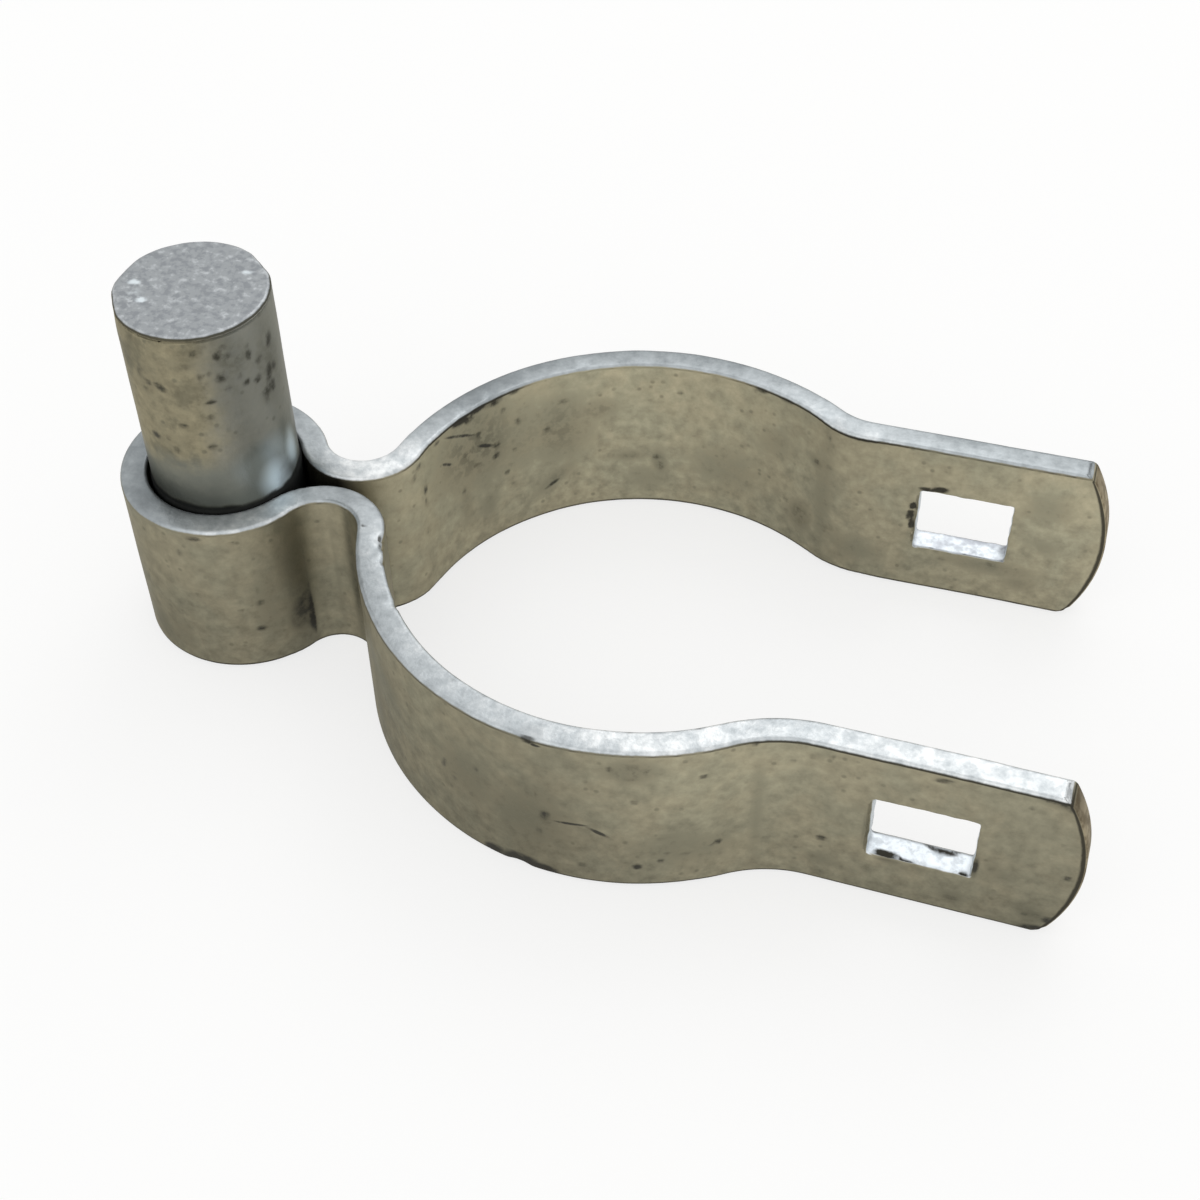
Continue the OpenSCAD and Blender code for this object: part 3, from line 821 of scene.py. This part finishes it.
class Finish(Graph):
    # one metal's material
    def __init__(self, name, look):
        self.material = bpy.data.materials.new(name)
        self.material.use_nodes = True
        super().__init__(self.material.node_tree)
        self.look = look
        self.shader = self.tree.nodes["Principled BSDF"]
        place = self.node("ShaderNodeTexCoord", {}, {}, "Object")
        self.place = self.node("ShaderNodeVectorMath", {"operation": "SCALE"}, {0: place, "Scale": perMetre})
        self.x = self.node("ShaderNodeSeparateXYZ", {}, {0: self.place})
        self.z = self.x.beside("Z")
        self.cloudy = self.cloud(*look["clouds"])
        self.ragged = self.cloud(*look["grain"])

    def attributes(self, *names):
        return [self.node("ShaderNodeAttribute", {"attribute_name": name}, {}, "Fac") for name in names]

    def cloud(self, size, detail, rough):
        # soft noise about 0.5, size in millimetres
        return self.node("ShaderNodeTexNoise", {},
                         {"Vector": self.place, "Scale": 1 / size, "Detail": detail, "Roughness": rough})

    def mix(self, share, first, second):
        return self.node("ShaderNodeMix", {"data_type": "RGBA", "clamp_factor": True},
                         {0: share, 6: first, 7: second}, 2)

    def coats(self, colour, *coats):
        # colours laid over one another, each with its share
        for share, name in coats:
            colour = self.mix(share, colour, self.look[name])
        return colour

    def tint(self, colour, factor):
        # a colour made lighter or darker by a value
        return self.node("ShaderNodeVectorMath", {"operation": "SCALE"}, {0: colour, "Scale": factor})

    def patch(self, where, middle, size, turn):
        # 1 in the middle of an oval patch and 0 outside it
        inside = self.node("ShaderNodeMapping", {"vector_type": "TEXTURE"},
                           {"Vector": where, "Location": middle, "Rotation": (0, 0, math.radians(turn)),
                            "Scale": size})
        gap = self.node("ShaderNodeVectorMath", {"operation": "LENGTH"}, {0: inside}, "Value")
        return gap.between(1, 0.1)

    def dots(self, size, radius, share):
        # small soft spots: one in some of the cells
        gap = self.node("ShaderNodeTexVoronoi", {}, {"Vector": self.place, "Scale": 1 / size}, "Distance")
        pick = self.node("ShaderNodeSeparateColor", {}, {0: gap.beside("Color")}, "Red")
        return gap.between(radius / size, radius / size * 0.3) * pick.between(share, share - 0.05)

    def smudgedAndShaded(self, colour, smudge, dots):
        # grey smudges and painted shade, broken up by the noise, and grey dots
        broken = smudge * (0.35 + 0.65 * self.ragged.between(0.4, 0.6))
        return self.coats(colour, (0.8 * broken.most(dots), "grey"))

    def finish(self, colour, black, rough, height):
        look = self.look
        bump = self.node("ShaderNodeBump", {},
                         {"Strength": 1, "Distance": look["relief"] / perMetre, "Height": height})
        colour.into(self.shader.inputs["Base Color"])
        (look["metallic"] - look["dirtDulls"] * black).into(self.shader.inputs["Metallic"])
        rough.into(self.shader.inputs["Roughness"])
        bump.into(self.shader.inputs["Normal"])
        self.shader.inputs["Specular Tint"].default_value = look["specular"]
        return self.material


strapFinish = {
    "faceWarm": seen(142, 136, 115),
    "faceGreen": seen(139, 135, 115),
    # the narrow edges: bright cool zinc, and in the lightest a painted highlight
    "edge": seen(182, 188, 191),
    "edgeDark": seen(125, 131, 134),
    "edgeLight": seen(240, 242, 242),
    # the painted dark shade line beside the edges, also the colour of black dirt on the edges and in the
    # holes
    "line": seen(46, 44, 38),
    "dirt": seen(32, 31, 26),
    "grey": seen(92, 90, 76),
    "cut": seen(166, 154, 129),
    "cutDark": seen(118, 106, 84),
    "cutShade": seen(72, 63, 49),
    "wall": seen(232, 238, 243),
    "wallDark": seen(200, 206, 211),
    "wallGrey": seen(166, 170, 179),
    "wallSide": seen(226, 232, 236),
    "specular": seen(188, 187, 180),  # keeps the metal from brightening where it turns away
    # noise: size in millimetres, detail and roughness
    "clouds": (7, 5, 0.58),
    "grain": (1.7, 4, 0.62),
    "pores": (0.4, 1, 0.5),
    "dots": (1.6, 0.46, 0.45),  # size of the cells, radius, and share of the cells that hold one
    "metallic": 0.75,
    "dirtDulls": 0.5,
    "rough": 0.48,
    "relief": 0.07,
    "lighterUp": 0.014,  # painted light: how much lighter the faces get with each millimetre upward
    "scratchDepth": 5,  # keeps a scratch on its own side of the strap
}


def strapZinc():
    zinc = Finish("strapZinc", strapFinish)
    look = strapFinish
    cloudy, ragged = zinc.cloudy, zinc.ragged
    along, side, edge, cut, tone = zinc.attributes("along", "side", "edge", "cut", "tone")
    edgeTone, line, dirtAndShadeMarks, smudge = zinc.attributes("edgeTone", "line", "dirt", "smudge")

    # faces: warm grey with faint clouds, painted a little lighter toward the top, where more light falls;
    # the tone along the strap also holds painted shade
    colour = zinc.coats(look["faceGreen"], (cloudy.between(0.38, 0.6), "faceWarm"))
    uneven = 0.35 * (cloudy - 0.5) + (ragged - 0.5)
    colour = zinc.tint(colour, tone * (1 + look["lighterUp"] * zinc.z + uneven))

    # dirt and painted shade: smudges and dots, then black spots and thin scratches, and a painted dark shade
    # line beside the edges
    colour = zinc.smudgedAndShaded(colour, smudge, 0.55 * zinc.dots(*look["dots"]) * cloudy.between(0.4, 0.55))
    scale = look["scratchDepth"]
    unrolled = zinc.node("ShaderNodeCombineXYZ", {}, {0: along, 1: zinc.z, 2: side * scale})
    deepest = dirtAndShadeMarks
    for place, height, face, length, width, turn in strap["scratches"]:
        deepest = deepest.most(zinc.patch(unrolled, (place, height, scale * face), (length, width, 3), turn))
    black = (deepest * (2.4 * ragged - 0.2)).between(0.2, 1)
    shadeLineShare = (line + 0.8 * (ragged - 0.5)).between(0.25, 0.9)
    colour = zinc.coats(colour, (0.92 * black, "dirt"), (0.9 * shadeLineShare, "line"))

    # narrow edges: cool bright zinc with a painted highlight, which the lower edges take less of
    sheenLevel = edgeTone + (0.35 + 1.2 * edgeTone) * (0.3 * (cloudy - 0.5) + 1.1 * (ragged - 0.5))
    zincAndSheen = zinc.coats(look["edgeDark"], (sheenLevel.between(-0.15, 0.5), "edge"),
                       (sheenLevel.between(0.35, 1), "edgeLight"), (0.8 * black, "line"))
    rim = edge + 0.3 * (ragged - 0.5) - 0.5 * zinc.z.between(0, -1)
    colour = zinc.mix(rim.between(0.2, 0.5), colour, zincAndSheen)

    # sheared ends are brown, with painted shade toward the top; the back end is painted a little lighter,
    # with less of that shade
    onBack = along.between(0, 1)
    endTone = zinc.coats(look["cutDark"], (ragged.between(0.38, 0.6), "cut"),
                         ((0.7 - 0.3 * onBack) * zinc.z.between(8, 12.5), "cutShade"))
    endTone = zinc.tint(endTone, 1 + 0.1 * onBack)

    # the walls of the holes are bright, and the back hole's floor is greyer
    floor = -strap["holeHeight"] / 2
    wall = zinc.coats(look["wallDark"], (ragged.between(0.36, 0.56), "wall"),
                      (0.75 * onBack * cloudy.between(0.42, 0.56), "wallGrey"),
                      (zinc.z.between(floor + 0.3, floor + 0.8), "wallSide"))
    pastHole = strap["frontEar"]["hole"] + strap["holeLength"] / 2
    inHole = abs(along).between(pastHole + 1.5, pastHole + 0.5)
    walls = zinc.coats(zinc.mix(inHole, endTone, wall), (black, "line"))
    colour = zinc.mix(cut, colour, walls)

    rough = look["rough"] + 0.25 * (cloudy - 0.5) + 0.15 * dirtAndShadeMarks - 0.08 * edge
    return zinc.finish(colour, black, rough, ragged + 0.35 * edge * zinc.cloud(*look["pores"]))


pinFinish = {
    "side": seen(144, 137, 113),
    "sideDark": seen(122, 117, 97),
    "sideLight": seen(150, 142, 117),
    "sideCool": seen(137, 140, 136),
    # the bluish foot, rubbed and with a painted reflection
    "foot": seen(112, 116, 110),
    # painted highlights on the foot
    "footLight": seen(228, 244, 252),
    # painted shade on the left of the foot, beside the loop
    "footDark": seen(86, 88, 82),
    "top": seen(160, 164, 167),
    "topDark": seen(144, 148, 152),
    "topLight": seen(190, 194, 197),
    "topShine": seen(222, 230, 234),
    # the painted dark shade line under the top rim
    "line": seen(58, 57, 48),
    "dirt": seen(46, 45, 36),
    "grey": seen(92, 92, 80),
    # painted shade in the gap round the foot, with grease
    "ring": seen(16, 18, 18),
    "specular": seen(188, 187, 180),
    "clouds": (5, 5, 0.6),
    "grain": (1.5, 4, 0.62),
    "fineGrain": (1.1, 4, 0.62),
    "dots": (1.6, 0.48, 0.42),
    "metallic": 0.75,
    "dirtDulls": 0.5,
    "rough": 0.48,
    "relief": 0.06,
    "footTop": 20.5,  # height of the border between the brown side and the bluish foot, rubbed and with a painted reflection
    "footSoftness": 2.4,
    "footLean": 0.16,
    "ringStart": 16,  # height below which the dirt and the painted shade of the gap are black
}


def pinZinc():
    zinc = Finish("pinZinc", pinFinish)
    look = pinFinish
    cloudy, ragged, fine = zinc.cloudy, zinc.ragged, zinc.cloud(*look["fineGrain"])
    rim, dirtAndShadeMarks, smudge, shining = zinc.attributes("rim", "dirt", "smudge", "shine")
    offAxis = zinc.x - pinX

    # brown side, cooler toward the ears
    colour = zinc.coats(look["sideDark"], (cloudy.between(0.36, 0.5), "side"),
                        (cloudy.between(0.5, 0.64), "sideLight"))
    colour = zinc.tint(colour, 1 + 0.7 * (ragged - 0.5) + 0.7 * (fine - 0.5))
    cool = (offAxis + 8 * (cloudy - 0.5)).between(2, 8)

    # the foot of the free length is bluish grey, rubbed smooth and with a painted reflection, with painted
    # shade on its left and painted highlights in two places
    border = zinc.z - look["footLean"] * offAxis + 5 * (cloudy - 0.5)
    rubbedAndReflecting = border.between(look["footTop"] + look["footSoftness"], look["footTop"] - look["footSoftness"])
    # painted shade low on the left of the foot, next to the loop
    low = (zinc.z + 2 * (cloudy - 0.5)).between(20, 14)
    colour = zinc.coats(colour, (0.75 * cool, "sideCool"), (0.85 * rubbedAndReflecting, "foot"),
                        (0.85 * low * offAxis.between(6, 2), "footDark"), (shining, "footLight"))

    # dirt, and the black ring round the foot: painted shade in the gap to the loop, with grease
    colour = zinc.smudgedAndShaded(colour, smudge, 0.6 * zinc.dots(*look["dots"]) * (1 - rubbedAndReflecting))
    black = (dirtAndShadeMarks * (2.2 * ragged - 0.1)).between(0.2, 1)
    inRing = zinc.z.between(look["ringStart"] + 0.5, look["ringStart"] - 0.5)
    colour = zinc.coats(colour, (0.9 * black, "dirt"), (dirtAndShadeMarks.between(0.35, 1) * inRing, "ring"))

    # the sawn top, with a painted glint on its rim and a painted dark shade line under it
    disc = zinc.coats(look["topDark"], (fine.between(0.38, 0.52), "top"),
                      ((0.6 * fine + 0.4 * ragged).between(0.52, 0.64), "topLight"),
                      ((shining + 0.8 * (fine - 0.5)).between(0.3, 0.9), "topShine"))
    rimWithNoise = rim + 0.25 * (ragged - 0.5)
    colour = zinc.coats(colour, (0.85 * rimWithNoise.between(0.02, 0.2), "line"))
    colour = zinc.mix(rimWithNoise.between(0.4, 0.6), colour, disc)
    glint = rimWithNoise.between(0.5, 0.7) * rimWithNoise.between(0.98, 0.8) * ragged.between(0.42, 0.6)
    colour = zinc.coats(colour, (0.7 * glint, "topLight"))

    rough = look["rough"] + 0.3 * (cloudy - 0.5) + 0.15 * dirtAndShadeMarks - 0.12 * rubbedAndReflecting
    return zinc.finish(colour, black, rough, ragged)


bentStrap = makeStrap()
bentStrap.data.materials.append(strapZinc())
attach(bentStrap, "root")
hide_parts("band")
gatePin = makePin()
gatePin.data.materials.append(pinZinc())
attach(gatePin, "root")
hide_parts("pin")
print("pieces finished")

# The floor, the surround and the lamps, in metres.
studio = {
    "floorSize": 4,
    "floorColour": seen(250, 250, 248),
    "floorRough": 0.9,
    "floorGlow": 0.72,  # share of plain white that the camera and the metal see in the floor
    "surround": 0.85,
    # lamps: place, aim, size, power
    "lamps": {
        "windowLamp": ((0.15, 0.75, 0.95), (0, 0, 0), 0.7, 2),
        "fillLamp": ((-0.35, -0.85, 0.9), (0, 0, 0), 0.9, 1.5),
    },
}


def layFloor():
    bm = bmesh.new()
    bmesh.ops.create_grid(bm, x_segments=1, y_segments=1, size=studio["floorSize"] / 2)
    bmesh.ops.translate(bm, vec=(0, 0, cadBox[0].z), verts=bm.verts)
    mesh = bpy.data.meshes.new("floor")
    bm.to_mesh(mesh)
    bm.free()
    floor = bpy.data.objects.new("floor", mesh)
    bpy.context.scene.collection.objects.link(floor)
    material = bpy.data.materials.new("paleFloor")
    material.use_nodes = True
    pale = Graph(material.node_tree)
    shader = pale.tree.nodes["Principled BSDF"]
    shader.inputs["Base Color"].default_value = studio["floorColour"]
    shader.inputs["Roughness"].default_value = studio["floorRough"]
    glow = pale.node("ShaderNodeEmission", {}, {"Color": white, "Strength": 1})
    blend = pale.node("ShaderNodeMixShader", {}, {
        0: studio["floorGlow"] * pale.shownRays(),
        1: Wire(pale, shader.outputs[0]),
        2: glow,
    })
    blend.into(pale.tree.nodes["Material Output"].inputs["Surface"])
    floor.data.materials.append(material)


def setSurround():
    world = bpy.data.worlds.new("surround")
    world.use_nodes = True
    bpy.context.scene.world = world
    air = Graph(world.node_tree)
    strength = air.node("ShaderNodeMapRange", {},
                        {"Value": air.shownRays(), "To Min": studio["surround"], "To Max": 1})
    background = air.tree.nodes["Background"]
    background.inputs["Color"].default_value = white
    strength.into(background.inputs["Strength"])


def hangLamps():
    for name, (place, aim, size, power) in studio["lamps"].items():
        lamp = bpy.data.lights.new(name, "AREA")
        lamp.size = size
        lamp.energy = power
        hung = bpy.data.objects.new(name, lamp)
        hung.location = place
        hung.rotation_euler = (Vector(aim) - Vector(place)).to_track_quat("-Z", "Y").to_euler()
        bpy.context.scene.collection.objects.link(hung)


# The photograph's viewpoint, in degrees and metres, and its lens, in millimetres.
view = {
    "azimuth": 14.970,
    "elevation": 46.919,
    "roll": -0.874,
    "aim": (-0.005469, 0.000547, -0.001698),
    "distance": 0.254,
    "nearest": 0.01,
    "lens": 58.405,
    "sensor": 36,
}


def placeCamera():
    azimuth, elevation, roll = (math.radians(view[name]) for name in ("azimuth", "elevation", "roll"))
    back = Vector((math.sin(azimuth) * math.cos(elevation), -math.cos(azimuth) * math.cos(elevation),
                   math.sin(elevation)))
    camera = bpy.data.objects.new("camera", bpy.data.cameras.new("camera"))
    camera.data.sensor_width = view["sensor"]
    camera.data.lens = view["lens"]
    camera.data.clip_start = view["nearest"]
    turn = back.to_track_quat("Z", "Y").to_matrix().to_4x4()
    place = Matrix.Translation(Vector(view["aim"]) + back * view["distance"])
    camera.matrix_world = place @ turn @ Matrix.Rotation(roll, 4, "Z")
    bpy.context.scene.collection.objects.link(camera)
    bpy.context.scene.camera = camera


layFloor()
setSurround()
hangLamps()
placeCamera()
bpy.context.scene.view_settings.view_transform = "Standard"
print("studio set")
